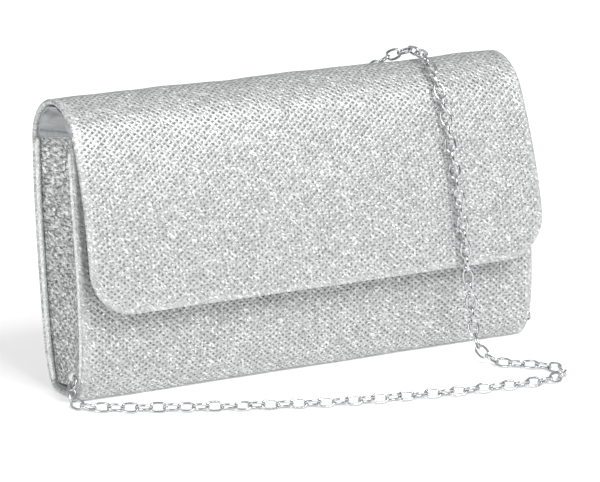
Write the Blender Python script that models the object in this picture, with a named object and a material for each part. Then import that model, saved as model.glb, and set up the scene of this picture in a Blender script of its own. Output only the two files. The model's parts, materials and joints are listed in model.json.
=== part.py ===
"""An evening clutch bag: a soft box body with folding gussets, a front flap on two folds, and a shoulder chain.

Frame: +X along the width, the front faces -Y, +Z up, origin under the middle of the bag on the surface it
stands on. Sizes below are in millimetres, and MM turns them into Blender's metres.
"""

import math

import bmesh
import bpy
import numpy as np
from mathutils import Matrix, Vector

MM = 0.001
GAP = 0.3

# The bag as a whole.
WIDTH = 240.0
HEIGHT = 138.6
BODY_DEPTH = 42.0
BASE_DEPTH = 18.0
BASE_LEAN = 0.5
TOP_LEAN = 10.0
BACK_BULGE = 1.5
BELLY_HEIGHT = 28.0
BACK_CORNER_HEIGHT = 27.0
FRONT_TOP_DROP = 18.6
REAR_FOLD_DROP = 21.6

# The flap: its crest, its front fold and its lower edge, seen from the side.
CREST_FORWARD = 2.0
FRONT_FOLD_DROP = 13.8
FRONT_FOLD_STAND_OFF = 2.3
FLAP_DROP = 94.6
FLAP_STAND_OFF = 10.7
FLAP_CORNER_RADIUS = 22.0
FOLD_GAP = 0.6

# The wall, from the outside in.
SHELL = 0.8
BOARD = 1.2
LINING = 0.5
EDGE = 0.8
STATION_STEP = 4.0
PANEL_JOINT = 0.5

# The inside.
FACING_CLEARANCE = 1.2
POCKET_WIDTH = 150.0
POCKET_SHEET = 0.6
POCKET_HEIGHT = 50.0
POCKET_TOP_DROP = 46.6
POCKET_BAND = 6.0
POCKET_BAND_SHEET = 0.9

# The gussets, which fold inwards like a V that dies away towards the base.
GUSSET_RECESS = 2.0
GUSSET_TOP_DROP = 23.0
GUSSET_FOLD_TOP = 15.0
GUSSET_FOLD_FOOT = 2.0
GUSSET_SHEET = 0.8
GUSSET_LEVELS = 14
SLANT = 1.3

# The magnetic snap under the flap.
SNAP_ABOVE_EDGE = 16.0
SNAP_RADIUS = 9.0
SNAP_CHAMFER = 0.6
SOCKET_THICK = 3.8
SOCKET_BORE = 3.8
SOCKET_BORE_DEPTH = 2.6
SNAP_CLEARANCE = 0.6
STUD_RADIUS = 2.6
STUD_REACH = 1.6
WASHER_RADIUS = 7.0
WASHER_THICK = 0.8
ROUND_SEGMENTS = 32

# The chain's anchors at the foot of each gusset.
ANCHOR_BEHIND_SEAM = 3.18
ANCHOR_Z = 13.0
STRAP_OUTER = 2.5
STRAP_INNER = 1.7
STRAP_WIDTH = 3.0
RING_RADIUS = 3.1
RING_WIRE = 0.6
RING_TILT = 20.0

# The chain, as the round envelope of its links.
CHAIN_DIAMETER = 6.0
CHAIN_STEP = 10.0
CHAIN_STEP_ON_FLAP = 7.0
CHAIN_STEP_BEHIND = 15.0

WALL = SHELL + GAP + BOARD + GAP + LINING

# Each stretch of the chain runs through its own hand-chosen points, from the left anchor to the right one.
CHAIN_FRONT_RUN = [
    (-123.9, -17.0, 3.6), (-122.5, -23.6, 3.1), (-118.4, -28.8, 3.1), (-111.5, -33.0, 3.1),
    (-101.3, -39.4, 3.1), (-78.3, -51.0, 3.1), (-55.5, -61.2, 3.1), (-31.4, -70.6, 3.1),
    (-7.1, -78.3, 3.1), (18.0, -83.6, 3.1), (42.0, -88.2, 3.1), (67.7, -91.8, 3.1),
    (81.0, -92.8, 3.1), (91.5, -91.0, 3.1), (98.8, -84.8, 3.1), (99.2, -75.6, 3.1),
    (93.0, -67.4, 3.1), (86.0, -61.0, 3.1), (81.0, -53.6, 3.3), (78.6, -45.4, 5.8),
    (78.6, -39.4, 11.4), (79.0, -36.4, 20.0), (78.3, -35.3, 32.0), (76.7, -34.8, 43.85),
]
CHAIN_OVER_FLAP = [
    (76.7, -34.8, 44.15), (75.7, -33.7, 57.5), (74.5, -32.0, 71.0), (73.6, -29.6, 84.0),
    (73.0, -26.6, 97.0), (72.6, -22.9, 109.6), (72.2, -18.7, 121.4), (72.0, -16.8, 125.8),
]
CHAIN_OVER_TOP = [
    (72.0, -16.4, 126.5), (71.4, -12.6, 133.0), (72.0, -6.5, 138.1), (73.2, 0.7, 141.4),
    (73.6, 8.1, 142.5), (72.2, 14.6, 141.8), (68.2, 21.6, 138.9), (63.6, 28.1, 133.8),
    (59.8, 32.9, 127.0), (58.0, 34.9, 121.0), (57.8, 35.0, 117.3),
]
CHAIN_BEHIND = [
    (57.7, 35.0, 115.2), (57.3, 35.0, 111.0), (55.4, 34.9, 98.0), (53.6, 34.9, 74.0),
    (52.4, 35.2, 46.0), (50.8, 36.2, 26.0), (46.6, 38.2, 11.4), (37.0, 40.4, 4.2),
    (14.0, 42.0, 3.1), (-20.0, 40.0, 3.1), (-54.0, 39.6, 3.1), (-73.0, 41.0, 3.1),
    (-85.0, 47.0, 3.1), (-88.4, 57.0, 3.1), (-82.0, 66.6, 3.1), (-66.0, 70.0, 3.1),
    (-26.0, 63.0, 3.1), (8.0, 58.6, 3.1), (44.0, 60.0, 3.1), (78.0, 58.0, 3.1),
    (103.0, 49.0, 3.1), (118.0, 35.0, 3.1), (124.0, 20.0, 3.1), (125.4, 6.0, 3.1),
    (124.2, -7.0, 3.6),
]


def clear_scene():
    for obj in list(bpy.data.objects):
        bpy.data.objects.remove(obj, do_unlink=True)


def make_material(name, colour, roughness, metallic):
    material = bpy.data.materials.new(name)
    material.use_nodes = True
    shader = material.node_tree.nodes["Principled BSDF"]
    shader.inputs["Base Color"].default_value = (*colour, 1.0)
    shader.inputs["Roughness"].default_value = roughness
    shader.inputs["Metallic"].default_value = metallic
    return material


def bezier(start, lead_out, lead_in, end, count=24):
    """Points of one cubic, from its start up to but not including its end."""
    t = np.linspace(0.0, 1.0, count, endpoint=False)[:, None]
    start, lead_out, lead_in, end = map(np.array, (start, lead_out, lead_in, end))
    return ((1 - t) ** 3 * start + 3 * (1 - t) ** 2 * t * lead_out
            + 3 * (1 - t) * t ** 2 * lead_in + t ** 3 * end)


class Outline:
    """An outer side profile in Y and Z, with its arc length and its inward normals."""

    def __init__(self, points, step):
        self.points = np.array(points, float)
        lengths = np.hypot(*np.diff(self.points, axis=0).T)
        self.s = np.concatenate([[0.0], np.cumsum(lengths)])
        self.length = self.s[-1]
        tangent = np.gradient(self.points, self.s, axis=0)
        tangent /= np.linalg.norm(tangent, axis=1)[:, None]
        self.normals = np.stack([-tangent[:, 1], tangent[:, 0]], axis=1)
        self.marks = np.linspace(0.0, self.length, max(2, round(self.length / step)) + 1)

    def at(self, s, depth=0.0):
        """The point at arc length s, this deep under the outer surface."""
        point = np.array([np.interp(s, self.s, self.points[:, k]) for k in (0, 1)])
        normal = self.normal(s)
        return point + depth * normal

    def normal(self, s):
        normal = np.array([np.interp(s, self.s, self.normals[:, k]) for k in (0, 1)])
        return normal / np.linalg.norm(normal)

    def stations(self, s0, s1):
        """Both ends and every shared mark between them, so that stacked layers stay parallel."""
        inner = self.marks[(self.marks > s0 + 1.0) & (self.marks < s1 - 1.0)]
        return np.concatenate([[s0], inner, [s1]])

    def arc_at_height(self, z, rising):
        """The arc length where the side profile passes this height, on its rising or its falling part."""
        low = int(np.argmin(self.points[:, 1]))
        if rising:
            return float(np.interp(z, self.points[low:, 1], self.s[low:]))
        return float(np.interp(-z, -self.points[: low + 1, 1], self.s[: low + 1]))


def side_profiles():
    """The body's U from the front panel's top edge to the rear fold, and the flap from there to its lower edge."""
    front_top = (TOP_LEAN - BODY_DEPTH / 2, HEIGHT - FRONT_TOP_DROP)
    rear_fold = (TOP_LEAN + BODY_DEPTH / 2, HEIGHT - REAR_FOLD_DROP)
    belly = (BASE_LEAN - BODY_DEPTH / 2, BELLY_HEIGHT)
    base_front = (-BASE_DEPTH / 2, 0.0)
    base_back = (BASE_DEPTH / 2, 0.0)
    back_corner = (BASE_LEAN + BODY_DEPTH / 2 + BACK_BULGE, BACK_CORNER_HEIGHT)
    body = np.concatenate([
        bezier(front_top, (front_top[0] - 3.5, front_top[1] - 32), (belly[0], belly[1] + 26), belly),
        bezier(belly, (belly[0], belly[1] - 16), (base_front[0] - 6.5, 0.0), base_front),
        np.linspace(base_front, base_back, 6, endpoint=False),
        bezier(base_back, (base_back[0] + 8, 0.0), (back_corner[0] - 2.2, back_corner[1] - 14), back_corner),
        bezier(back_corner, (back_corner[0] + 4.4, back_corner[1] + 28), (rear_fold[0], rear_fold[1] - 30),
               rear_fold),
        [rear_fold],
    ])
    crest = (TOP_LEAN - CREST_FORWARD, HEIGHT)
    front_fold = (front_top[0] - FRONT_FOLD_STAND_OFF, HEIGHT - FRONT_FOLD_DROP)
    tip = (belly[0] - FLAP_STAND_OFF, HEIGHT - FLAP_DROP)
    rise = crest[1] - rear_fold[1]
    fall = (0.40, 0.917)
    top = np.concatenate([
        bezier(rear_fold, (rear_fold[0], rear_fold[1] + 0.56 * rise), (crest[0] + 12.5, crest[1]), crest),
        bezier(crest, (crest[0] - 8, crest[1]), (front_fold[0] + 9 * fall[0], front_fold[1] + 9 * fall[1]),
               front_fold),
        [front_fold],
    ])
    flap = np.concatenate([
        bezier(front_fold, (front_fold[0] - 27 * fall[0], front_fold[1] - 27 * fall[1]),
               (tip[0] + 1.6, tip[1] + 27), tip),
        [tip],
    ])
    centre = np.array([(rear_fold[0] + tip[0]) / 2, 0.0])
    return body - centre, top - centre, flap - centre


def add_object(name, mesh_or_curve, material, pivot):
    obj = bpy.data.objects.new(name, mesh_or_curve)
    bpy.context.scene.collection.objects.link(obj)
    obj.data.materials.append(material)
    obj.parent = pivot
    return obj


def origin_of(pivot):
    return Vector(pivot["axis_at"]) if pivot else Vector((0, 0, 0))


def add_bmesh(name, bm, material, pivot):
    """Turns a bmesh in millimetres and world places into an object on its joint's axis."""
    bmesh.ops.recalc_face_normals(bm, faces=bm.faces)
    bmesh.ops.scale(bm, vec=(MM, MM, MM), verts=bm.verts)
    bmesh.ops.translate(bm, vec=-origin_of(pivot), verts=bm.verts)
    mesh = bpy.data.meshes.new(name)
    bm.to_mesh(mesh)
    bm.free()
    mesh.shade_smooth()
    mesh.set_sharp_from_angle(angle=math.radians(35))
    return add_object(name, mesh, material, pivot)


def loft(name, sections, material, pivot=None, closed=False):
    """One solid through a row of matching sections, closed into a ring or capped at both ends."""
    bm = bmesh.new()
    rings = [[bm.verts.new(point) for point in section] for section in sections]
    pairs = list(zip(rings, rings[1:] + rings[:1]))
    for ring, following in pairs if closed else pairs[:-1]:
        for k in range(len(ring)):
            n = (k + 1) % len(ring)
            a, b, c, d = ring[k], ring[n], following[n], following[k]
            # Each quad splits along its shorter diagonal, so stacked layers bend along the same lines.
            if (a.co - c.co).length < (b.co - d.co).length:
                corners = ((a, b, c), (a, c, d))
            else:
                corners = ((a, b, d), (b, c, d))
            for corner in corners:
                bm.faces.new(corner)
    if not closed:
        bm.faces.new(rings[0])
        bm.faces.new(rings[-1])
    return add_bmesh(name, bm, material, pivot)


def wall(name, outline, s_range, depths, spans, material, pivot=None):
    """A layer of a wall: it follows the outline between two arc lengths and two depths.

    spans gives the two X ends at an arc length.
    """
    sections = []
    for s in outline.stations(*s_range):
        outer = outline.at(s, depths[0])
        inner = outline.at(s, depths[1])
        x0, x1 = spans(s)
        sections.append([(x0, *outer), (x1, *outer), (x1, *inner), (x0, *inner)])
    return loft(name, sections, material, pivot)


def both_sides(half_width):
    return lambda s: (-half_width, half_width)


def turned(name, profile, centre, axis, material, pivot=None):
    """A round piece: the (radius, height) profile turned about an axis through its centre."""
    bm = bmesh.new()
    verts = [bm.verts.new((radius, 0.0, height)) for radius, height in profile]
    edges = [bm.edges.new(pair) for pair in zip(verts, verts[1:])]
    bmesh.ops.spin(bm, geom=verts + edges, cent=(0, 0, 0), axis=(0, 0, 1),
                   angle=math.tau, steps=ROUND_SEGMENTS, use_merge=True)
    bmesh.ops.remove_doubles(bm, verts=bm.verts, dist=1e-4)
    turn = Vector((0, 0, 1)).rotation_difference(Vector(axis)).to_matrix().to_4x4()
    bmesh.ops.transform(bm, matrix=Matrix.Translation(centre) @ turn, verts=bm.verts)
    return add_bmesh(name, bm, material, pivot)


def cut_round_hole(obj, centre, axis, radius, pivot=None):
    """Cuts a round hole through a board for the washer that lies in it."""
    long = 4 * BOARD
    cutter = turned(obj.name + "_cutter", [(0, -long), (radius, -long), (radius, long), (0, long)],
                    centre, axis, obj.data.materials[0], pivot)
    cutter.hide_render = True
    cutter.display_type = "WIRE"
    hole = obj.modifiers.new("Washer hole", "BOOLEAN")
    hole.object = cutter
    hole.solver = "EXACT"


def add_fold_axis(name, place, parent=None):
    """An empty on a fold's axis. axis_at keeps its world place for the pieces that it carries."""
    axis = bpy.data.objects.new(name, None)
    bpy.context.scene.collection.objects.link(axis)
    world = Vector(place) * MM
    axis["axis_at"] = tuple(world)
    axis.parent = parent
    axis.location = world - origin_of(parent)
    axis.empty_display_size = 0.02
    return axis


def add_body_walls(body, fabric, board, satin):
    inner_half = WIDTH / 2 - EDGE - GAP
    whole = (EDGE + GAP, body.length - FOLD_GAP / 2)
    front_foot = body.arc_at_height(6.0, rising=False)
    back_foot = body.arc_at_height(6.0, rising=True)
    parts = {
        "front": (whole[0], front_foot - PANEL_JOINT / 2),
        "base": (front_foot + PANEL_JOINT / 2, back_foot - PANEL_JOINT / 2),
        "back": (back_foot + PANEL_JOINT / 2, whole[1]),
    }
    wall("outer_shell", body, whole, (0.0, SHELL), both_sides(inner_half), fabric)
    boards = {}
    for place, s_range in parts.items():
        board_top = SHELL + GAP
        boards[place] = wall(f"{place}_board", body, s_range, (board_top, board_top + BOARD),
                             both_sides(inner_half), board)
        wall(f"{place}_lining", body, s_range, (WALL - LINING, WALL), both_sides(inner_half), satin)
    for side, sign in (("left", -1), ("right", 1)):
        ends = sorted((sign * (WIDTH / 2 - EDGE), sign * WIDTH / 2))
        wall(f"{side}_edge_binding", body, (0.0, whole[1]), (0.0, WALL), lambda s, e=ends: e, fabric)
    return boards


def add_front_facing(body, fabric):
    """The outer fabric turned over the front panel's top edge, and down inside to just above the gussets."""
    foot = body.arc_at_height(HEIGHT - GUSSET_TOP_DROP + FACING_CLEARANCE, rising=False)
    half = WIDTH / 2 - EDGE - GAP
    leg_top = WALL + GAP
    leg_foot = WALL + GAP + LINING
    path = [body.at(0.0, 0.0), body.at(0.0, leg_foot)]
    path += [body.at(s, leg_foot) for s in body.stations(0.0, foot)[1:]]
    path += [body.at(s, leg_top) for s in body.stations(EDGE, foot)[::-1]]
    path += [body.at(EDGE, 0.0)]
    sections = [[(x, *point) for point in path] for x in (-half, half)]
    loft("front_top_facing", sections, fabric)


def add_slip_pocket(body, satin):
    """A flat pocket panel sewn on the back lining, with a band along its mouth."""
    top_z = HEIGHT - POCKET_TOP_DROP
    foot = body.arc_at_height(top_z - POCKET_HEIGHT, rising=True)
    top = body.arc_at_height(top_z, rising=True)
    depth = WALL + GAP
    half = both_sides(POCKET_WIDTH / 2)
    wall("slip_pocket", body, (foot, top), (depth, depth + POCKET_SHEET), half, satin)
    wall("pocket_band", body, (top + GAP, top + GAP + POCKET_BAND), (depth, depth + POCKET_BAND_SHEET), half,
         satin)


def gusset_seams(body, z):
    """The Y of a gusset's front and back seams at a height: the lines just inside the front and back walls."""
    lines = np.array([body.at(s, WALL + GAP) for s in body.stations(0.0, body.length)])
    low = int(np.argmin(lines[:, 1]))
    back = float(np.interp(z, lines[low:, 1], lines[low:, 0]))
    front = float(np.interp(-z, -lines[: low + 1, 1], lines[: low + 1, 0]))
    return front, back


def gusset_levels(body):
    """For each level of a gusset: its height, the Y of its back and front seams, and how deep it folds."""
    foot_z = WALL + 2 * GAP + 0.4
    top_z = HEIGHT - GUSSET_TOP_DROP
    levels = []
    for share in np.linspace(0.0, 1.0, GUSSET_LEVELS) ** 1.4:
        z = foot_z + (top_z - foot_z) * share
        front, back = gusset_seams(body, z)
        fold = GUSSET_FOLD_FOOT + (GUSSET_FOLD_TOP - GUSSET_FOLD_FOOT) * share
        levels.append((z, back, front, fold))
    return levels


def add_gussets(body, fabric, satin):
    layers = (
        ("gusset", 0.0, GUSSET_SHEET * SLANT, fabric),
        ("gusset_lining", (GUSSET_SHEET + GAP) * SLANT, (GUSSET_SHEET + GAP + LINING) * SLANT, satin),
    )
    edge_x = WIDTH / 2 - GUSSET_RECESS
    for side, sign in (("left", -1), ("right", 1)):
        for label, outer, inner, material in layers:
            sections = []
            for z, back, front, fold in gusset_levels(body):
                middle = (back + front) / 2
                sections.append([
                    (sign * (edge_x - outer), back, z),
                    (sign * (edge_x - outer - fold), middle, z),
                    (sign * (edge_x - outer), front, z),
                    (sign * (edge_x - inner), front, z),
                    (sign * (edge_x - inner - fold), middle, z),
                    (sign * (edge_x - inner), back, z),
                ])
            loft(f"{side}_{label}", sections, material)


def add_anchors(body, fabric, metal):
    """At the foot of each gusset a strap loop holds the ring that carries the chain's end."""
    anchor_y = gusset_seams(body, ANCHOR_Z)[0] + ANCHOR_BEHIND_SEAM
    for side, sign in (("left", -1), ("right", 1)):
        centre_x = sign * (WIDTH / 2 - GUSSET_RECESS + GAP + STRAP_OUTER)
        sections = []
        for angle in np.linspace(0.0, math.tau, 16, endpoint=False):
            along = np.array([math.cos(angle), math.sin(angle)])
            corners = []
            for radius, y in ((STRAP_OUTER, -1), (STRAP_OUTER, 1), (STRAP_INNER, 1), (STRAP_INNER, -1)):
                x, z = radius * along
                corners.append((centre_x + x, anchor_y + y * STRAP_WIDTH / 2, ANCHOR_Z + z))
            sections.append(corners)
        loft(f"{side}_anchor_strap", sections, fabric, closed=True)

        tilt = math.radians(RING_TILT)
        down = Vector((sign * math.sin(tilt), 0.0, -math.cos(tilt)))
        forward = Vector((0.0, 1.0, 0.0))
        across = down.cross(forward)
        ring_centre = Vector((centre_x, anchor_y, ANCHOR_Z)) + RING_RADIUS * down
        sections = []
        for angle in np.linspace(0.0, math.tau, 24, endpoint=False):
            out = math.cos(angle) * down + math.sin(angle) * forward
            section = []
            for turn in np.linspace(0.0, math.tau, 8, endpoint=False):
                wire = RING_WIRE * (math.cos(turn) * out + math.sin(turn) * across)
                section.append(ring_centre + RING_RADIUS * out + wire)
            sections.append(section)
        loft(f"{side}_anchor_ring", sections, metal, closed=True)


def add_flap_top(top, fabric, board, satin, pivot):
    """The part of the flap that bends over the bag's mouth, between the two folds."""
    s_range = (FOLD_GAP / 2, top.length - FOLD_GAP / 2)
    half = both_sides(WIDTH / 2 - EDGE - GAP)
    wall("flap_top_shell", top, s_range, (0.0, SHELL), half, fabric, pivot)
    wall("flap_top_board", top, s_range, (SHELL + GAP, SHELL + GAP + BOARD), half, board, pivot)
    wall("flap_top_lining", top, s_range, (WALL - LINING, WALL), half, satin, pivot)
    for side, sign in (("left", -1), ("right", 1)):
        ends = sorted((sign * (WIDTH / 2 - EDGE), sign * WIDTH / 2))
        wall(f"flap_top_{side}_binding", top, s_range, (0.0, WALL), lambda s, e=ends: e, fabric, pivot)


def flap_spans(flap, inset):
    """The flap's two X ends at an arc length, with its round lower corners, this far inside its outline."""
    corner_s = flap.length - FLAP_CORNER_RADIUS

    def spans(s):
        reach = FLAP_CORNER_RADIUS - inset
        beyond = min(max(0.0, s - corner_s), reach)
        half = WIDTH / 2 - FLAP_CORNER_RADIUS + math.sqrt(max(reach ** 2 - beyond ** 2, 0.0))
        return -half, half

    return spans


def add_flap(flap, fabric, board, satin, pivot):
    """The flap's front board, with its layers inside a binding that runs round its edge."""
    inset = EDGE + GAP
    s_range = (FOLD_GAP / 2, flap.length - inset)
    spans = flap_spans(flap, inset)
    wall("flap_shell", flap, s_range, (0.0, SHELL), spans, fabric, pivot)
    flap_board = wall("flap_board", flap, s_range, (SHELL + GAP, SHELL + GAP + BOARD), spans, board, pivot)
    wall("flap_lining", flap, s_range, (WALL - LINING, WALL), spans, satin, pivot)

    radius = FLAP_CORNER_RADIUS
    corner = (WIDTH / 2 - radius, flap.length - radius)
    rim = [(WIDTH / 2, s, 1.0, 0.0) for s in flap.stations(FOLD_GAP / 2, corner[1])[:-1]]
    for angle in np.linspace(0.0, math.pi / 2, 9):
        out_x, out_s = math.cos(angle), math.sin(angle)
        rim.append((corner[0] + radius * out_x, corner[1] + radius * out_s, out_x, out_s))
    rim += [(-x, s, -out_x, out_s) for x, s, out_x, out_s in rim[::-1]]
    sections = []
    for x, s, out_x, out_s in rim:
        inner_x, inner_s = x - EDGE * out_x, s - EDGE * out_s
        sections.append([
            (x, *flap.at(s, 0.0)), (inner_x, *flap.at(inner_s, 0.0)),
            (inner_x, *flap.at(inner_s, WALL)), (x, *flap.at(s, WALL)),
        ])
    loft("flap_edge_binding", sections, fabric, pivot)
    return flap_board


def add_snap(body, flap, boards, flap_board, metal, pivot):
    """A magnetic snap: the socket on the front panel, the stud on the flap's lining, a washer behind each."""
    snap_z = HEIGHT - FLAP_DROP + SNAP_ABOVE_EDGE
    socket_s = body.arc_at_height(snap_z, rising=False)
    inward = body.normal(socket_s)
    seat = Vector((0.0, *body.at(socket_s, -GAP)))
    outward = Vector((0.0, -inward[0], -inward[1]))
    c = SNAP_CHAMFER
    bore_floor = SOCKET_THICK - SOCKET_BORE_DEPTH
    turned("snap_socket", [
        (0, 0), (SNAP_RADIUS, 0), (SNAP_RADIUS, SOCKET_THICK - c), (SNAP_RADIUS - c, SOCKET_THICK),
        (SOCKET_BORE, SOCKET_THICK), (SOCKET_BORE, bore_floor), (0, bore_floor),
    ], seat, outward, metal)
    washer = [(0, 0), (WASHER_RADIUS, 0), (WASHER_RADIUS, WASHER_THICK), (0, WASHER_THICK)]
    washer_depth = SHELL + GAP + (BOARD - WASHER_THICK) / 2
    hole = WASHER_RADIUS + GAP
    place = Vector((0.0, *body.at(socket_s, washer_depth)))
    turned("socket_washer", washer, place, -outward, metal)
    cut_round_hole(boards["front"], place, outward, hole)

    # The stud stands on the flap's lining where the socket's axis meets it, and fills the room up to the socket.
    line = np.array([flap.at(s, WALL + GAP) for s in np.linspace(0.0, flap.length, 400)])
    aside = (line - np.array(seat[1:])) @ np.array((-outward[2], outward[1]))
    stud_s = float(np.interp(0.0, aside, np.linspace(0.0, flap.length, 400)))
    facing = Vector((0.0, *flap.normal(stud_s)))
    stud_seat = Vector((0.0, *flap.at(stud_s, WALL + GAP)))
    stud_thick = (stud_seat - seat).length - SOCKET_THICK - SNAP_CLEARANCE
    turned("snap_stud", [
        (0, 0), (SNAP_RADIUS, 0), (SNAP_RADIUS, stud_thick - c), (SNAP_RADIUS - c, stud_thick),
        (STUD_RADIUS, stud_thick), (STUD_RADIUS, stud_thick + STUD_REACH), (0, stud_thick + STUD_REACH),
    ], stud_seat, facing, metal, pivot)
    flap_place = Vector((0.0, *flap.at(stud_s, washer_depth)))
    turned("stud_washer", washer, flap_place, facing, metal, pivot)
    cut_round_hole(flap_board, flap_place, facing, hole, pivot)


def smooth_route(points, step):
    """Evenly spaced points along a smooth curve through the chosen ones."""
    chosen = np.array(points, float)
    padded = np.concatenate([[2 * chosen[0] - chosen[1]], chosen, [2 * chosen[-1] - chosen[-2]]])
    fine = []
    for a, b, c, d in zip(padded, padded[1:], padded[2:], padded[3:]):
        t = np.linspace(0.0, 1.0, 24, endpoint=False)[:, None]
        fine.append(0.5 * (2 * b + (c - a) * t + (2 * a - 5 * b + 4 * c - d) * t ** 2
                           + (3 * b - a - 3 * c + d) * t ** 3))
    fine = np.concatenate(fine + [chosen[-1:]])
    s = np.concatenate([[0.0], np.cumsum(np.linalg.norm(np.diff(fine, axis=0), axis=1))])
    even = np.linspace(0.0, s[-1], max(2, round(s[-1] / step)) + 1)
    return np.stack([np.interp(even, s, fine[:, k]) for k in range(3)], axis=1)


def add_chain(name, points, step, metal, pivot=None):
    """One stretch of the chain, as a plain tube of its links' outer diameter."""
    curve = bpy.data.curves.new(name, "CURVE")
    curve.dimensions = "3D"
    curve.bevel_depth = CHAIN_DIAMETER / 2 * MM
    curve.bevel_resolution = 2
    curve.use_fill_caps = True
    route = smooth_route(points, step) * MM - np.array(origin_of(pivot))
    spline = curve.splines.new("POLY")
    spline.points.add(len(route) - 1)
    for point, place in zip(spline.points, route):
        point.co = (*place, 1.0)
    return add_object(name, curve, metal, pivot)


def build():
    clear_scene()
    fabric = make_material("silver_mesh_fabric", (0.62, 0.64, 0.64), 0.45, 0.35)
    satin = make_material("grey_satin", (0.55, 0.57, 0.58), 0.4, 0.0)
    board = make_material("grey_board", (0.45, 0.45, 0.44), 0.9, 0.0)
    metal = make_material("silver_metal", (0.8, 0.8, 0.8), 0.2, 1.0)

    body_points, top_points, flap_points = side_profiles()
    body = Outline(body_points, STATION_STEP)
    top = Outline(top_points, STATION_STEP)
    flap = Outline(flap_points, STATION_STEP * 2)
    rear_fold = add_fold_axis("rear_fold_axis", (0.0, *top_points[0]))
    front_fold = add_fold_axis("front_fold_axis", (0.0, *flap_points[0]), rear_fold)

    boards = add_body_walls(body, fabric, board, satin)
    add_front_facing(body, fabric)
    add_slip_pocket(body, satin)
    add_gussets(body, fabric, satin)
    add_anchors(body, fabric, metal)
    add_flap_top(top, fabric, board, satin, rear_fold)
    flap_board = add_flap(flap, fabric, board, satin, front_fold)
    add_snap(body, flap, boards, flap_board, metal, front_fold)

    add_chain("chain_front_run", CHAIN_FRONT_RUN, CHAIN_STEP, metal)
    add_chain("chain_over_flap", CHAIN_OVER_FLAP, CHAIN_STEP_ON_FLAP, metal, front_fold)
    add_chain("chain_over_top", CHAIN_OVER_TOP, CHAIN_STEP_ON_FLAP, metal, rear_fold)
    add_chain("chain_behind", CHAIN_BEHIND, CHAIN_STEP_BEHIND, metal)


build()
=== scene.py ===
import json
import math

import bmesh
import bpy
import numpy as np
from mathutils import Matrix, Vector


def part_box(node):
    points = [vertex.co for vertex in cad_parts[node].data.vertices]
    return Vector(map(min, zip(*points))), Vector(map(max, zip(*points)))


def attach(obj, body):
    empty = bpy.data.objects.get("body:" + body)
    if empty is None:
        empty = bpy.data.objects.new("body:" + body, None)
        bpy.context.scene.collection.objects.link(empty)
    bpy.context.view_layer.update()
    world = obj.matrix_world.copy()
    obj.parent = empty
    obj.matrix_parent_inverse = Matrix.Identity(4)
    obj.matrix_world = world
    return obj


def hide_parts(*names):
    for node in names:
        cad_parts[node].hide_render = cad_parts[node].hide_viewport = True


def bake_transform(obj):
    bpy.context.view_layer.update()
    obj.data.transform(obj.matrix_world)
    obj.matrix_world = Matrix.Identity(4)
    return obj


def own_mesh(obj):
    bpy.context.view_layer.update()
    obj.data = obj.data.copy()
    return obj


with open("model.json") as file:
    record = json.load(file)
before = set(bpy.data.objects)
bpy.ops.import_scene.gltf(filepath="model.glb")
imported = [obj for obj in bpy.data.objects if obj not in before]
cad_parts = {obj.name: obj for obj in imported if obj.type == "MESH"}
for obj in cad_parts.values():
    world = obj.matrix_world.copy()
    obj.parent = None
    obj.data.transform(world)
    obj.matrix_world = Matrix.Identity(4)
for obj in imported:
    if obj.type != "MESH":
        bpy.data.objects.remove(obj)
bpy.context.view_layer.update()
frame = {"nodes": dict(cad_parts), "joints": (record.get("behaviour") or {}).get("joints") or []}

# Lengths in this script are in millimetres until a mesh is made.
mm = 0.001
scene = bpy.context.scene


def nodeBox(name):
    low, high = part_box(name)
    return np.array(low) / mm, np.array(high) / mm


def jointPlace(name):
    for joint in frame["joints"]:
        if joint["name"] == name:
            return np.array(joint["pos_m"], float) / mm
    raise KeyError(name)


camera = {"place": (-0.8151, -1.4403, 0.4706), "turn": 29.65, "down": 13.95, "lens": 216.13, "sensor": 36.0}


def makeCamera():
    data = bpy.data.cameras.new("camera")
    data.lens = camera["lens"]
    data.sensor_width = camera["sensor"]
    data.clip_end = 60.0
    eye = bpy.data.objects.new("camera", data)
    eye.location = camera["place"]
    eye.rotation_euler = (math.radians(90 - camera["down"]), 0.0, math.radians(-camera["turn"]))
    scene.collection.objects.link(eye)
    scene.camera = eye


makeCamera()
print("stage: camera")


def unit(vectors):
    return vectors / np.linalg.norm(vectors, axis=-1, keepdims=True)


def smoothStep(value, low, high):
    t = np.clip((value - low) / (high - low), 0.0, 1.0)
    return t * t * (3 - 2 * t)


def gridQuads(rows, columns, wrapRows=False, wrapColumns=False, start=0):
    # Quad (i, j) joins row i to the next one and column j to the next one.
    # A wrapped side goes back to the first.
    i = np.arange(rows if wrapRows else rows - 1)[:, None]
    j = np.arange(columns if wrapColumns else columns - 1)[None, :]
    iNext, jNext = (i + 1) % rows, (j + 1) % columns
    quads = np.stack(np.broadcast_arrays(i * columns + j, iNext * columns + j,
                                         iNext * columns + jNext, i * columns + jNext), axis=-1)
    return quads.reshape(-1, 4) + start


def gridCorners(u, v):
    # The four (u, v) pairs of every quad of a grid; u runs down the rows and v along the columns.
    a, b = np.meshgrid(u, v, indexing="ij")
    uv = np.stack([a, b], axis=-1)
    return np.stack([uv[:-1, :-1], uv[1:, :-1], uv[1:, 1:], uv[:-1, 1:]], axis=-2).reshape(-1, 4, 2)


def twoFaceQuads(n, m):
    # Two matching grids of n rows and m columns, the second one turned over, and a rim that joins their
    # edges.
    ring = np.concatenate([np.arange(m), np.arange(1, n) * m + m - 1,
                           (n - 1) * m + np.arange(m - 2, -1, -1), np.arange(n - 2, 0, -1) * m])
    nextRing = np.roll(ring, -1)
    rimQuads = np.stack([ring, ring + n * m, nextRing + n * m, nextRing], axis=1)
    return np.concatenate([gridQuads(n, m), gridQuads(n, m, start=n * m)[:, ::-1], rimQuads])


def arcsOf(points):
    # The distance from the first point to each one, along the line that joins them.
    return np.concatenate([[0.0], np.cumsum(np.linalg.norm(np.diff(points, axis=0), axis=1))])


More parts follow.
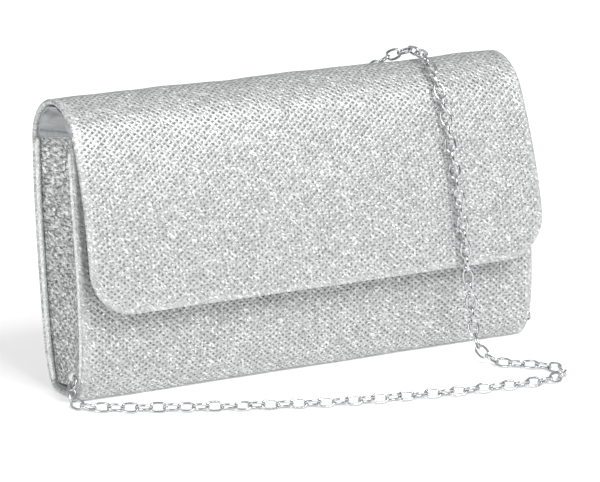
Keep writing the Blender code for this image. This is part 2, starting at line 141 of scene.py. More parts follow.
endFlare = {"amount": 3.7, "from": 30.0, "to": 120.0, "low": 50.0, "high": 135.0}


def flared(points):
    # The soft right end spreads a little towards its foot: x grows by a share that rises smoothly along the
    # bag and dies away smoothly with height.
    shape = endFlare
    spreadOut = shape["amount"] * smoothStep(points[:, 0], shape["from"], shape["to"])
    spreadOut = spreadOut * (1 - smoothStep(points[:, 2], shape["low"], shape["high"]))
    return points + np.outer(spreadOut, (1.0, 0.0, 0.0))


farFromRim = 9.0  # the distance from the cloth's edge that trims and satin give, in millimetres


def makePiece(name, points, quads, material, corners=None, rim=None, sharp=40.0, clean=True):
    # points are in millimetres. corners gives each quad's corners a place on the flat cloth, in millimetres,
    # and rim gives each point's distance from the cloth's edge.
    mesh = bpy.data.meshes.new(name)
    mesh.from_pydata((np.asarray(points, float) * mm).tolist(), [], np.asarray(quads).tolist())
    if corners is not None:
        layer = mesh.uv_layers.new(name="cloth")
        layer.data.foreach_set("uv", np.asarray(corners, np.float32).ravel())
    if rim is not None:
        store = mesh.attributes.new("rim", "FLOAT", "POINT")
        store.data.foreach_set("value", np.asarray(rim, np.float32).ravel())
    work = bmesh.new()
    work.from_mesh(mesh)
    if clean:
        bmesh.ops.remove_doubles(work, verts=work.verts, dist=1e-6)
    bmesh.ops.recalc_face_normals(work, faces=work.faces)
    work.to_mesh(mesh)
    work.free()
    mesh.shade_smooth()
    mesh.set_sharp_from_angle(angle=math.radians(sharp))
    mesh.materials.append(material)
    piece = bpy.data.objects.new(name, mesh)
    scene.collection.objects.link(piece)
    return piece


def finishPiece(piece, body, slotName, *nodes):
    if body is not None:
        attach(piece, body)
    if nodes:
        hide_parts(*nodes)
    return piece


def wobble(x, s, sizes):
    # A slow uneven swell: a sum of products of two sines, one along x and one along s, each with its own wave
    # length and phase.
    total = np.zeros(np.broadcast(x, s).shape)
    for height, waveX, waveS, phase in sizes:
        alongX = np.sin(math.tau * x / waveX + phase)
        total = total + height * alongX * np.sin(math.tau * s / waveS + 1.7 * phase)
    return total


def addNode(tree, kind, *values, **settings):
    # Values go to the node's inputs in order: a socket is linked, a number or a colour is set, and None is
    # left as it is.
    node = tree.nodes.new(kind)
    for key, value in settings.items():
        setattr(node, key, value)
    for socket, value in zip(node.inputs, values):
        if isinstance(value, bpy.types.NodeSocket):
            tree.links.new(value, socket)
        elif value is not None:
            socket.default_value = value
    return node


def mathOf(tree, operation, *values):
    return addNode(tree, "ShaderNodeMath", *values, operation=operation).outputs[0]


def vectorOf(tree, operation, *values):
    return addNode(tree, "ShaderNodeVectorMath", *values, operation=operation).outputs[0]


def rampOf(tree, value, low, high, toLow=0.0, toHigh=1.0):
    # A smooth step from one value to another as the input goes from low to high.
    return addNode(tree, "ShaderNodeMapRange", value, low, high, toLow, toHigh,
                   interpolation_type="SMOOTHSTEP").outputs[0]


def noiseOf(tree, place, scale, detail, dimensions="3D", output=0):
    return addNode(tree, "ShaderNodeTexNoise", place, None, scale, detail,
                   noise_dimensions=dimensions).outputs[output]


def ridgesOf(tree, value):
    # The height of a sine wave without its sign, which touches zero at each whole number.
    return mathOf(tree, "ABSOLUTE", mathOf(tree, "SINE", mathOf(tree, "MULTIPLY", value, math.pi)))


def bumpOf(tree, height, strength, distance):
    bump = addNode(tree, "ShaderNodeBump", strength, distance)
    tree.links.new(height, bump.inputs["Height"])
    return bump.outputs[0]


def mixOf(tree, factor, first, second, blend="MIX"):
    node = tree.nodes.new("ShaderNodeMix")
    node.data_type = "RGBA"
    node.blend_type = blend
    for socket, value in ((node.inputs[0], factor), (node.inputs[6], first), (node.inputs[7], second)):
        if isinstance(value, bpy.types.NodeSocket):
            tree.links.new(value, socket)
        else:
            socket.default_value = value if isinstance(value, float) else (*value, 1.0)
    return node.outputs[2]


def startMaterial(name):
    material = bpy.data.materials.new(name)
    material.use_nodes = True
    tree = material.node_tree
    shader = tree.nodes["Principled BSDF"]
    return material, tree, shader


def feed(tree, shader, **sockets):
    for name, value in sockets.items():
        socket = shader.inputs[name.replace("_", " ")]
        if isinstance(value, bpy.types.NodeSocket):
            tree.links.new(value, socket)
        else:
            socket.default_value = (*value, 1.0) if isinstance(value, tuple) else value


def clothPlace(tree):
    return addNode(tree, "ShaderNodeUVMap", uv_map="cloth").outputs[0]


def drifted(tree, place, scale, amount):
    # The threads wander a little: a slow noise moves each place by up to half the amount.
    drift = noiseOf(tree, place, scale, 2.0, "2D", "Color")
    offset = vectorOf(tree, "SUBTRACT", drift, (0.5, 0.5, 0.5))
    return vectorOf(tree, "ADD", place, vectorOf(tree, "MULTIPLY", offset, (amount, amount, 0.0)))


# Sizes of the weave in millimetres: a cell is one full repeat of the staggered holes.
meshCloth = {
    "cellAcross": 3.5, "cellAlong": 2.9, "dashTurn": 42.0, "grainSize": 0.42, "drift": (0.32, 0.9),
    # The third colour here is the painted glint of the glitter.
    "thread": (0.56, 0.57, 0.57), "hole": (0.22, 0.227, 0.23), "paintedGlint": (0.88, 0.89, 0.89),
    "solidRim": (2.2, 4.2), "metallic": 0.42, "rough": (0.24, 0.62), "bump": 0.00035,
}


def makeMeshCloth(name, holeStrength=1.0, contrast=1.0, paintedLight=1.0, dash=(1.15, 0.5)):
    # Two families of bright threads cross on the slant, and small dark holes stand in the staggered spots
    # that they miss. Short bright dashes lie along one slant. A fine random grain, cell by cell, is the
    # glitter: each grain has its own polish and its own brightness, which paints the glitter's glints into
    # the colour, and the brightest grains get a painted white glint.
    material, tree, shader = startMaterial(name)
    uv = clothPlace(tree)
    place = drifted(tree, uv, *meshCloth["drift"])
    cell = vectorOf(tree, "DIVIDE", place, (meshCloth["cellAcross"], meshCloth["cellAlong"], 1.0))
    split = addNode(tree, "ShaderNodeSeparateXYZ", cell)
    plus = mathOf(tree, "ADD", split.outputs[0], split.outputs[1])
    minus = mathOf(tree, "SUBTRACT", split.outputs[0], split.outputs[1])
    strand = mathOf(tree, "MAXIMUM", ridgesOf(tree, plus), ridgesOf(tree, minus))
    openness = rampOf(tree, strand, 0.25, 0.92, 1.0, 0.0)
    uneven = noiseOf(tree, uv, 0.42, 2.0, "2D")
    openness = mathOf(tree, "MULTIPLY", openness, rampOf(tree, uneven, 0.30, 0.62, 0.62, 1.15))
    rim = addNode(tree, "ShaderNodeAttribute", attribute_name="rim").outputs["Fac"]
    inside = rampOf(tree, rim, *meshCloth["solidRim"])
    openness = mathOf(tree, "MULTIPLY", openness, mathOf(tree, "MULTIPLY", inside, holeStrength))

    slant = addNode(tree, "ShaderNodeMapping", place, None, (0.0, 0.0, math.radians(meshCloth["dashTurn"])),
                    (*dash, 1.0), vector_type="TEXTURE").outputs[0]
    grain = addNode(tree, "ShaderNodeTexVoronoi", slant, None, 1.0, voronoi_dimensions="2D")
    fine = addNode(tree, "ShaderNodeTexVoronoi", uv, None, 1.0 / meshCloth["grainSize"],
                   voronoi_dimensions="2D")
    grainToneAndGlint, grainPolish = addNode(tree, "ShaderNodeSeparateColor", grain.outputs["Color"]).outputs[:2]
    fineTone = addNode(tree, "ShaderNodeSeparateColor", fine.outputs["Color"]).outputs[0]
    patch = noiseOf(tree, uv, 0.055, 3.0, "2D")

    tone = mathOf(tree, "ADD", mathOf(tree, "MULTIPLY", grainToneAndGlint, 0.42 * contrast),
                  mathOf(tree, "MULTIPLY", fineTone, 0.30 * contrast))
    tone = mathOf(tree, "ADD", tone, mathOf(tree, "MULTIPLY", patch, 0.12))
    tone = mathOf(tree, "ADD", tone, 0.90 - 0.36 * contrast - 0.06)
    # The whole tone is scaled to make a lighter or darker copy of the cloth: painted light or painted shade.
    tone = mathOf(tree, "MULTIPLY", tone, paintedLight)
    colour = mixOf(tree, openness, meshCloth["thread"], meshCloth["hole"])
    colour = mixOf(tree, 1.0, colour, addNode(tree, "ShaderNodeCombineColor", tone, tone, tone).outputs[0],
                   "MULTIPLY")
    # Painted glint: the brightest grains turn near white.
    paintedGlint = rampOf(tree, grainToneAndGlint, 0.90, 0.97)
    colour = mixOf(tree, paintedGlint, colour, meshCloth["paintedGlint"])
    raised = mathOf(tree, "ADD", mathOf(tree, "MULTIPLY", strand, 0.6),
                    mathOf(tree, "MULTIPLY", grainToneAndGlint, 0.5))
    height = mathOf(tree, "SUBTRACT", raised, mathOf(tree, "MULTIPLY", openness, 0.7))
    feed(tree, shader, Base_Color=colour, Metallic=meshCloth["metallic"],
         Roughness=rampOf(tree, grainPolish, 0.0, 1.0, *meshCloth["rough"]),
         Normal=bumpOf(tree, height, 0.75, meshCloth["bump"]))
    return material


satinCloth = {
    "tone": (0.27, 0.285, 0.29), "lightTone": (0.42, 0.435, 0.44), "threadPitch": 0.35,
    "streaks": (2.0, 0.09, 1.0), "rough": (0.30, 0.46), "sheen": 0.35, "bump": 0.0003,
}


def makeSatin(name):
    # Fine threads run along the cloth, and slow streaks beside them vary the sheen: they change the roughness
    # and the bump, and they lighten the colour in streaks as a painted sheen.
    material, tree, shader = startMaterial(name)
    uv = clothPlace(tree)
    streak = noiseOf(tree, vectorOf(tree, "MULTIPLY", uv, satinCloth["streaks"]), 1.0, 4.0, "2D")
    slow = noiseOf(tree, uv, 0.045, 2.0, "2D")
    along = addNode(tree, "ShaderNodeSeparateXYZ", uv).outputs[0]
    threads = mathOf(tree, "SINE", mathOf(tree, "MULTIPLY", along, math.tau / satinCloth["threadPitch"]))
    tone = mathOf(tree, "ADD", mathOf(tree, "MULTIPLY", streak, 0.85), mathOf(tree, "MULTIPLY", slow, 0.35))
    # The colour goes lighter along the streaks, a painted sheen, and in slow random patches.
    colour = mixOf(tree, rampOf(tree, tone, 0.2, 1.0), satinCloth["tone"], satinCloth["lightTone"])
    height = mathOf(tree, "ADD", mathOf(tree, "MULTIPLY", threads, 0.12),
                    mathOf(tree, "MULTIPLY", streak, 0.9))
    feed(tree, shader, Base_Color=colour, Roughness=rampOf(tree, streak, 0.3, 0.7, *satinCloth["rough"]),
         Sheen_Weight=satinCloth["sheen"], Sheen_Roughness=0.35,
         Normal=bumpOf(tree, height, 0.35, satinCloth["bump"]))
    return material


fibreBoard = {"tone": (0.30, 0.29, 0.27), "lightTone": (0.47, 0.46, 0.43), "fibres": (900.0, 5200.0, 5200.0)}


def makeBoard(name):
    # Pressed fibre board: short fibres and a mottled grey.
    material, tree, shader = startMaterial(name)
    place = addNode(tree, "ShaderNodeTexCoord").outputs["Object"]
    fibres = noiseOf(tree, vectorOf(tree, "MULTIPLY", place, fibreBoard["fibres"]), 1.0, 3.0)
    mottle = noiseOf(tree, place, 320.0, 4.0)
    tone = mathOf(tree, "ADD", mathOf(tree, "MULTIPLY", fibres, 0.6), mathOf(tree, "MULTIPLY", mottle, 0.5))
    colour = mixOf(tree, rampOf(tree, tone, 0.35, 0.8), fibreBoard["tone"], fibreBoard["lightTone"])
    feed(tree, shader, Base_Color=colour, Roughness=0.9, Normal=bumpOf(tree, fibres, 0.4, 0.0002))
    return material


plating = {
    "chainTone": (0.60, 0.61, 0.62), "chainRough": (0.07, 0.16),
    "snapTone": (0.72, 0.73, 0.74), "snapRough": (0.20, 0.34),
    "dullTone": (0.46, 0.46, 0.45), "dullShare": 0.35, "lines": (6000.0, 1500.0, 1500.0),
}


def makeMetal(name, tone, rough):
    # Plated metal: faint polishing lines, tiny dull specks and an uneven shine.
    material, tree, shader = startMaterial(name)
    place = addNode(tree, "ShaderNodeTexCoord").outputs["Object"]
    lines = noiseOf(tree, vectorOf(tree, "MULTIPLY", place, plating["lines"]), 1.0, 3.0)
    specks = noiseOf(tree, place, 1900.0, 2.0)
    slow = noiseOf(tree, place, 240.0, 2.0)
    dull = rampOf(tree, specks, 0.60, 0.72)
    colour = mixOf(tree, rampOf(tree, slow, 0.3, 0.7), tone, tuple(0.88 * c for c in tone))
    colour = mixOf(tree, mathOf(tree, "MULTIPLY", dull, plating["dullShare"]), colour, plating["dullTone"])
    polish = mathOf(tree, "ADD", rampOf(tree, lines, 0.3, 0.7, *rough), mathOf(tree, "MULTIPLY", dull, 0.18))
    feed(tree, shader, Base_Color=colour, Metallic=1.0, Roughness=polish,
         Normal=bumpOf(tree, lines, 0.12, 0.00008))
    return material


silverMesh = makeMeshCloth("silverMeshCloth", contrast=1.15)
# The gusset's cloth has fewer holes, more contrast and rounder grains, and is a darker copy overall: painted
# shade on the bag's set-in ends.
silverGussetPaintedShade = makeMeshCloth("silverMeshGussetPaintedShade", holeStrength=0.55, contrast=2.4, paintedLight=0.93,
                             dash=(0.8, 0.6))
# The trim is solid cloth without holes, and a lighter copy overall: painted light on the welts, stitches and
# anchor loops that use it.
silverTrimPaintedLight = makeMeshCloth("silverTrimPaintedLight", holeStrength=0.0, contrast=0.8, paintedLight=1.5)
satin = makeSatin("greySatin")
boardStuff = makeBoard("greyBoard")
chrome = makeMetal("chainPlate", plating["chainTone"], plating["chainRough"])
snapSteel = makeMetal("snapPlate", plating["snapTone"], plating["snapRough"])
print("stage: materials")


flapEdge = nodeBox("flap_edge_binding")
rearFold = jointPlace("rear_fold")[1:]
frontFold = jointPlace("front_fold")[1:]
halfWidth = float(nodeBox("flap_top_right_binding")[1][0])
crestHeight = float(nodeBox("flap_top_shell")[1][2])

# Heights are over the floor. The other sizes are front to back, from the rear fold or the flap's lower edge.
sideShape = {
    "bodyDepth": 42.0, "frontTopOverRearFold": 3.0, "crestBehind": 23.0, "flapStandOff": 10.7,
    "bellyHeight": 28.0, "baseDepth": 18.0, "backCornerHeight": 27.0, "backCornerIn": 8.0,
    "fall": (0.40, 0.917), "wall": 3.1, "cloth": 2.6, "fineStep": 0.5,
}


def curve(a, b, c, d, count=160):
    # A cubic curve from a to d, leaving a towards b and arriving at d from c: the four points in the shares
    # (1 - t) cubed, 3 (1 - t) squared t, 3 (1 - t) t squared and t cubed.
    t = np.linspace(0.0, 1.0, count)[:, None]
    a, b, c, d = (np.array(point, float) for point in (a, b, c, d))
    return (1 - t) ** 3 * a + 3 * (1 - t) ** 2 * t * b + 3 * (1 - t) * t ** 2 * c + t ** 3 * d


def joinCurves(*parts):
    return np.concatenate([parts[0]] + [part[1:] for part in parts[1:]])


def makeLine(points):
    # The line at even steps with its arc length s, and the unit normal into the bag at each point. The
    # direction is averaged over nine steps, so cloth laid off the line doesn't kink where two curves meet.
    reach = arcsOf(points)
    s = np.linspace(0.0, reach[-1], int(reach[-1] / sideShape["fineStep"]) + 2)
    even = np.stack([np.interp(s, reach, points[:, k]) for k in range(2)], axis=1)
    tangent = unit(np.gradient(even, s, axis=0))
    window = np.ones(9) / 9
    padded = np.pad(tangent, ((4, 4), (0, 0)), mode="edge")
    tangent = unit(np.stack([np.convolve(padded[:, k], window, "valid") for k in range(2)], axis=1))
    return {"s": s, "point": even, "normal": np.stack([-tangent[:, 1], tangent[:, 0]], axis=1)}


def onLine(line, s, depth):
    # (y, z) at arc length s, moved by depth along the normal into the bag.
    s, depth = np.broadcast_arrays(s, depth)

    def along(column):
        return np.interp(s, line["s"], column)

    return tuple(along(line["point"][:, k]) + depth * along(line["normal"][:, k]) for k in range(2))


def makeOutline():
    # The bag seen from its left end, as (y, z) points: down the front, under the base, up the back, over the
    # top and down the flap. The two middle points of each curve are its handles, and set how full it is.
    shape = sideShape
    rf, ff = rearFold, frontFold
    tip = np.array([flapEdge[0][1], flapEdge[0][2]])
    frontTop = np.array([rf[0] - shape["bodyDepth"], rf[1] + shape["frontTopOverRearFold"]])
    belly = np.array([tip[0] + shape["flapStandOff"], shape["bellyHeight"]])
    baseMiddle = (nodeBox("base_board")[0][1] + nodeBox("base_board")[1][1]) / 2
    baseFront = np.array([baseMiddle - shape["baseDepth"] / 2, 0.0])
    baseBack = np.array([baseMiddle + shape["baseDepth"] / 2, 0.0])
    backCorner = np.array([rf[0] - shape["backCornerIn"], shape["backCornerHeight"]])
    crest = np.array([rf[0] - shape["crestBehind"], crestHeight])
    rise, fall = crest[1] - rf[1], np.array(shape["fall"])
    body = joinCurves(
        curve(frontTop, frontTop + (-3.5, -32), belly + (0, 26), belly),
        curve(belly, belly + (0, -16), baseFront + (-6.5, 0), baseFront),
        curve(baseFront, baseFront + (3, 0), baseBack + (-3, 0), baseBack, 40),
        curve(baseBack, baseBack + (8, 0), backCorner + (-2.2, -14), backCorner),
        curve(backCorner, backCorner + (4.4, 28), rf + (0, -30), rf))
    top = joinCurves(
        curve(rf, rf + (0, 0.56 * rise), crest + (12.5, 0), crest),
        curve(crest, crest + (-8, 0), ff + 9 * fall, ff))
    flap = curve(ff, ff - 27 * fall, tip + (1.6, 27), tip)
    return body, top, flap


bodyCurve, topCurve, flapCurve = makeOutline()
skin = makeLine(joinCurves(bodyCurve, topCurve, flapCurve))


def lengthOf(points):
    return float(np.sum(np.linalg.norm(np.diff(points, axis=0), axis=1)))


bodyEnd = lengthOf(bodyCurve)
topEnd = bodyEnd + lengthOf(topCurve)
flapEnd = float(skin["s"][-1])
crestArc = float(skin["s"][np.argmax(skin["point"][:, 1])])
baseArc = float(skin["s"][np.argmin(np.abs(skin["point"][:, 0]) + 10 * skin["point"][:, 1])])  # base's middle


def arcAtHeight(height, side):
    # Arc length where the body's front or back, or the flap, passes a height.
    spans = {"front": (0.0, baseArc), "back": (baseArc, bodyEnd), "flap": (topEnd, flapEnd)}
    low, high = spans[side]
    inside = (skin["s"] >= low) & (skin["s"] <= high)
    s, z = skin["s"][inside], skin["point"][inside, 1]
    order = np.argsort(z)
    return float(np.interp(height, z[order], s[order]))


# Points at this distance each side of the rear and the front fold.
foldSpread = 8.0
flapWay = unit(np.array(sideShape["fall"])[None])[0]
rearBlend = ((0.0, rearFold[0] * mm, (rearFold[1] - foldSpread) * mm),
             (0.0, rearFold[0] * mm, (rearFold[1] + foldSpread) * mm))
frontBlend = ((0.0, *((frontFold + flapWay * foldSpread) * mm)),
              (0.0, *((frontFold - flapWay * foldSpread) * mm)))
print(f"stage: outline, {flapEnd:.1f} mm of cloth from the front panel's top to the flap's lower edge")


chainShape = {
    "diameter": 6.0, "linkLong": 8.8, "linkWide": 5.8, "wire": 1.25, "pitch": 6.4, "roundness": 2.5,
    "around": 14, "wireSides": 6, "settle": 0.75, "rollWander": 7.0, "seed": 5, "routeStep": 4.0,
    "rollOnFloor": 45.0, "rollOnBag": 24.0, "jitter": 0.10, "footInRing": (1.2, 0.6, 1.0),
    "riseKeep": 0.06, "riseAnchor": 0.4,
}
# Points of the chain's route: along the floor in front and up to the flap, over it, over the top, and behind.
chainFront = [
    (-123.9, -17.0, 3.6), (-122.5, -23.6, 3.1), (-118.4, -28.8, 3.1), (-111.5, -33.0, 3.1),
    (-101.3, -39.4, 3.1), (-78.3, -51.0, 3.1), (-55.5, -61.2, 3.1), (-31.4, -70.6, 3.1),
    (-7.1, -78.3, 3.1), (18.0, -83.6, 3.1), (42.0, -88.2, 3.1), (67.7, -91.8, 3.1),
    (81.0, -92.8, 3.1), (91.5, -91.0, 3.1), (98.8, -84.8, 3.1), (99.2, -75.6, 3.1),
    (93.0, -67.4, 3.1), (86.0, -61.0, 3.1), (81.0, -53.6, 3.3), (78.6, -45.4, 5.8),
    (78.6, -39.4, 11.4), (79.0, -36.4, 20.0), (78.3, -35.3, 32.0), (76.7, -34.8, 43.85),
]
chainOverFlap = [
    (76.7, -34.8, 44.15), (75.7, -33.7, 57.5), (74.5, -32.0, 71.0), (73.6, -29.6, 84.0),
    (73.0, -26.6, 97.0), (72.6, -22.9, 109.6), (72.2, -18.7, 121.4), (72.0, -16.8, 125.8),
]
chainOverTop = [
    (72.0, -16.4, 126.5), (71.4, -12.6, 133.0), (72.0, -6.5, 138.1), (73.2, 0.7, 141.4),
    (73.6, 8.1, 142.5), (72.2, 14.6, 141.8), (68.2, 21.6, 138.9), (63.6, 28.1, 133.8),
    (59.8, 32.9, 127.0), (58.0, 34.9, 121.0), (57.8, 35.0, 117.3),
]
chainBehindBag = [
    (57.7, 35.0, 115.2), (57.3, 35.0, 111.0), (55.4, 34.9, 98.0), (53.6, 34.9, 74.0),
    (52.4, 35.2, 46.0), (50.8, 36.2, 26.0), (46.6, 38.2, 11.4), (37.0, 40.4, 4.2),
    (14.0, 42.0, 3.1), (-20.0, 40.0, 3.1), (-54.0, 39.6, 3.1), (-73.0, 41.0, 3.1),
    (-85.0, 47.0, 3.1), (-88.4, 57.0, 3.1), (-82.0, 66.6, 3.1), (-66.0, 70.0, 3.1),
    (-26.0, 63.0, 3.1), (8.0, 58.6, 3.1), (44.0, 60.0, 3.1), (78.0, 58.0, 3.1),
    (103.0, 49.0, 3.1), (118.0, 35.0, 3.1), (124.0, 20.0, 3.1), (125.4, 6.0, 3.1),
    (124.2, -7.0, 3.6),
]
floorStart = 19  # where the front run leaves the floor
crestStart = 5  # where the run over the top passes the crest


def smoothRoute(points, step):
    # A smooth curve through the chosen points, sampled at even steps. Between two points it is the cubic
    # whose direction at each one is that of the line joining its two neighbours.
    chosen = np.array(points, float)
    padded = np.concatenate([[2 * chosen[0] - chosen[1]], chosen, [2 * chosen[-1] - chosen[-2]]])
    a, b, c, d = (padded[k:len(padded) - 3 + k, None, :] for k in range(4))
    t = np.linspace(0.0, 1.0, 24, endpoint=False)[None, :, None]
    fine = 0.5 * (2 * b + (c - a) * t + (2 * a - 5 * b + 4 * c - d) * t ** 2
                  + (3 * b - a - 3 * c + d) * t ** 3)
    fine = np.concatenate([fine.reshape(-1, 3), chosen[-1:]])
    s = arcsOf(fine)
    even = np.linspace(0.0, s[-1], max(2, round(s[-1] / step)) + 1)
    return np.stack([np.interp(even, s, fine[:, k]) for k in range(3)], axis=1)


def linkRings(centre, along, side, third):
    # The middle of a link's wire is a rounded oval in the plane of along and side, and the wire is a circle
    # carried round it. The circle's own axes are the oval's outward direction and the third direction.
    shape = chainShape
    angle = np.linspace(0.0, math.tau, shape["around"], endpoint=False) + math.pi / shape["around"]
    turn = np.linspace(0.0, math.tau, shape["wireSides"], endpoint=False)
    longHalf, wideHalf = (shape["linkLong"] - shape["wire"]) / 2, (shape["linkWide"] - shape["wire"]) / 2
    power = 2.0 / shape["roundness"]
    x = longHalf * np.sign(np.cos(angle)) * np.abs(np.cos(angle)) ** power
    y = wideHalf * np.sign(np.sin(angle)) * np.abs(np.sin(angle)) ** power
    outX = np.roll(y, -1) - np.roll(y, 1)
    outY = np.roll(x, 1) - np.roll(x, -1)
    size = np.hypot(outX, outY)
    outX, outY = outX / size, outY / size
    line = centre[:, None] + x[None, :, None] * along[:, None] + y[None, :, None] * side[:, None]
    out = outX[None, :, None] * along[:, None] + outY[None, :, None] * side[:, None]
    wire = shape["wire"] / 2
    return (line[:, :, None] + wire * (np.cos(turn)[None, None, :, None] * out[:, :, None]
                                       + np.sin(turn)[None, None, :, None] * third[:, None, None]))


def chainLinks(name, centre, along, side, third):
    rings = linkRings(centre, along, side, third)
    count, around, sides = rings.shape[:3]
    one = gridQuads(around, sides, wrapRows=True, wrapColumns=True)
    quads = (one[None] + (np.arange(count) * around * sides)[:, None, None]).reshape(-1, 4)
    return makePiece(name, rings.reshape(-1, 3), quads, chrome, sharp=75.0, clean=False)


def chainFeet():
    # Where the chain hangs in the left and the right anchor's ring. The right ring moves out with that end.
    inX, inY, inZ = chainShape["footInRing"]
    low, high = nodeBox("left_anchor_ring")
    leftFoot = (low[0] + inX, (low[1] + high[1]) / 2 - inY, low[2] + inZ)
    low, high = nodeBox("right_anchor_ring")
    return leftFoot, (high[0] - inX + endFlare["amount"], (low[1] + high[1]) / 2 + inY, low[2] + inZ)


def makeChain():
    shape = chainShape
    leftFoot, rightFoot = chainFeet()
    overFront, overRear = ("flap_top", "flap", frontBlend), ("body", "flap_top", rearBlend)
    stretches = [
        ("chain_floor_links", [leftFoot] + chainFront[:floorStart + 1], "body", "chain_front_run"),
        ("chain_rise_links", chainFront[floorStart:], "body", "chain_front_run"),
        ("chain_flap_links", chainOverFlap, overFront, "chain_over_flap"),
        ("chain_crest_links", chainOverTop[:crestStart + 1], overFront, "chain_over_top"),
        ("chain_top_links", chainOverTop[crestStart:], overRear, "chain_over_top"),
        ("chain_behind_links", chainBehindBag + [rightFoot], overRear, "chain_behind"),
    ]
    everyPoint = [leftFoot, *chainFront, *chainOverFlap[1:], *chainOverTop[1:], *chainBehindBag[1:],
                  rightFoot]
    route = smoothRoute(everyPoint, 0.5)
    s = arcsOf(route)
    onFloor = np.clip((5.0 - route[:, 2]) / 1.9, 0.0, 1.0)
    route = route - np.array([0.0, 0.0, 1.0]) * (shape["settle"] * onFloor)[:, None]
    count = int(s[-1] / shape["pitch"])
    middle = (np.arange(count) + 0.5) * s[-1] / count

    def at(where):
        return np.stack([np.interp(where, s, route[:, k]) for k in range(3)], axis=1)

    centre = at(middle)
    along = unit(at(middle + shape["pitch"] / 2) - at(middle - shape["pitch"] / 2))
    # Up is away from what the chain lies on: the floor, or the bag's wall.
    low = np.clip((13.0 - centre[:, 2]) / 9.0, 0.0, 1.0)[:, None]
    away = np.stack([0 * low[:, 0], centre[:, 1] - 8.0, np.maximum(centre[:, 2] - 112.0, 0.0) * 1.2], axis=1)
    up = low * np.array([0.0, 0.0, 1.0]) + (1 - low) * unit(away)
    up = unit(up - np.sum(up * along, axis=1, keepdims=True) * along)
    across = np.cross(along, up)
    rng = np.random.default_rng(shape["seed"])
    lean = shape["rollOnFloor"] * low[:, 0] + shape["rollOnBag"] * (1 - low[:, 0])
    roll = np.radians(lean + 90.0 * (np.arange(count) % 2) + rng.normal(0, shape["rollWander"], count))
    side = np.cos(roll)[:, None] * across + np.sin(roll)[:, None] * up
    third = np.cross(along, side)
    centre = centre + rng.normal(0.0, shape["jitter"], centre.shape) * np.array([1.0, 1.0, 0.5])

    # The route's length where each stretch ends.
    marks = [0.0]
    for _, points, _, _ in stretches:
        marks.append(float(s[np.argmin(np.linalg.norm(route - points[-1], axis=1))]))
    marks[-1] = s[-1]
    total = 0.0
    for k, (name, _, body, node) in enumerate(stretches):
        inside = (middle >= marks[k]) & (middle < marks[k + 1])
        piece = chainLinks(name, centre[inside], along[inside], side[inside], third[inside])
        if isinstance(body, tuple):
            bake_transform(piece)
            body = None
        finishPiece(piece, body, "silver_metal", node)
        span = marks[k + 1] - marks[k]
        total += span
        if name == "chain_rise_links":
            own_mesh(piece)
    print(f"stage: chain, {count} links in {total:.0f} mm")


makeChain()


wallShape = {
    "edgeSteps": (0.0, 0.12, 0.35, 0.7, 1.1, 1.6, 2.3, 3.2, 4.2, 5.5), "columnStep": 2.2, "rowStep": 2.0,
    "backSplit": 98.0, "flapCorner": 22.0,
    "swell": ((0.22, 95.0, 80.0, 0.4), (0.16, 52.0, 47.0, 1.9), (0.09, 23.0, 31.0, 2.6)),
}


def denseSteps(length, startDense, endDense, step):
    # Distances from 0 to length, close together near a rounded end and even elsewhere.
    near = np.array(wallShape["edgeSteps"])
    first = near if startDense else np.array([0.0])
    last = length - near[::-1] if endDense else np.array([length])
    inner = np.linspace(first[-1], last[0], max(2, int((last[0] - first[-1]) / step) + 1))
    return np.concatenate([first[:-1], inner, last[1:]])


def wallPlate(name, arcs, half, depths, material, roundStart, roundEnd, corner=0.0, swell=(), extra=None):
    # A closed plate that follows the bag's outline. A point is found from its place x across and s along
    # the cloth, and e is its distance to the plate's edge. The outer and the inner face lie at the two
    # depths. Near the edge both bend to the middle depth on a circle, so the edge is round like turned cloth.
    s0, s1 = arcs
    length = s1 - s0
    rows = denseSteps(length, roundStart, roundEnd, wallShape["rowStep"])
    across = denseSteps(2 * half, True, True, wallShape["columnStep"]) - half
    share = across / half
    beyond = np.clip(rows - (length - corner), 0.0, corner) if corner else 0 * rows
    halfAt = half + 0 * rows
    if corner:
        halfAt = half - corner + np.sqrt(np.maximum(corner ** 2 - beyond ** 2, 0.0))
    x = halfAt[:, None] * share[None, :]
    s = rows[:, None] + 0 * x
    toSide = half - np.abs(x)
    toEnd = np.minimum(s if roundStart else np.inf, (length - s) if roundEnd else np.inf)
    e = np.minimum(toSide, toEnd)
    if corner:
        inCorner = (toSide < corner) & (length - s < corner)
        e = np.where(inCorner, corner - np.hypot(corner - toSide, corner - (length - s)), e)
    e = np.maximum(e, 0.0)
    e[:, [0, -1]] = 0.0
    if roundStart:
        e[0] = 0.0
    if roundEnd:
        e[-1] = 0.0
    radius = (depths[1] - depths[0]) / 2
    bend = radius - np.sqrt(np.maximum(radius ** 2 - np.maximum(radius - e, 0.0) ** 2, 0.0))
    lift = wobble(x, s0 + s, swell) * np.clip(e / 9.0, 0.0, 1.0) if swell else 0 * x
    if extra is not None:
        lift = lift + extra(x, s0 + s)
    faces = []
    for depth in (depths[0] + bend, depths[1] - bend):
        y, z = onLine(skin, s0 + s, depth + lift)
        faces.append(np.stack([x, y, z], axis=-1))
    points = np.concatenate([face.reshape(-1, 3) for face in faces])
    quads = twoFaceQuads(*x.shape)
    flat = np.stack([x, s0 + s], axis=-1).reshape(-1, 2)
    flat = np.concatenate([flat, flat])
    rim = np.concatenate([e.ravel(), e.ravel()])
    piece = makePiece(name, flared(points), quads, material, flat[quads], rim)
    return piece


backSplitArc = arcAtHeight(wallShape["backSplit"], "back")


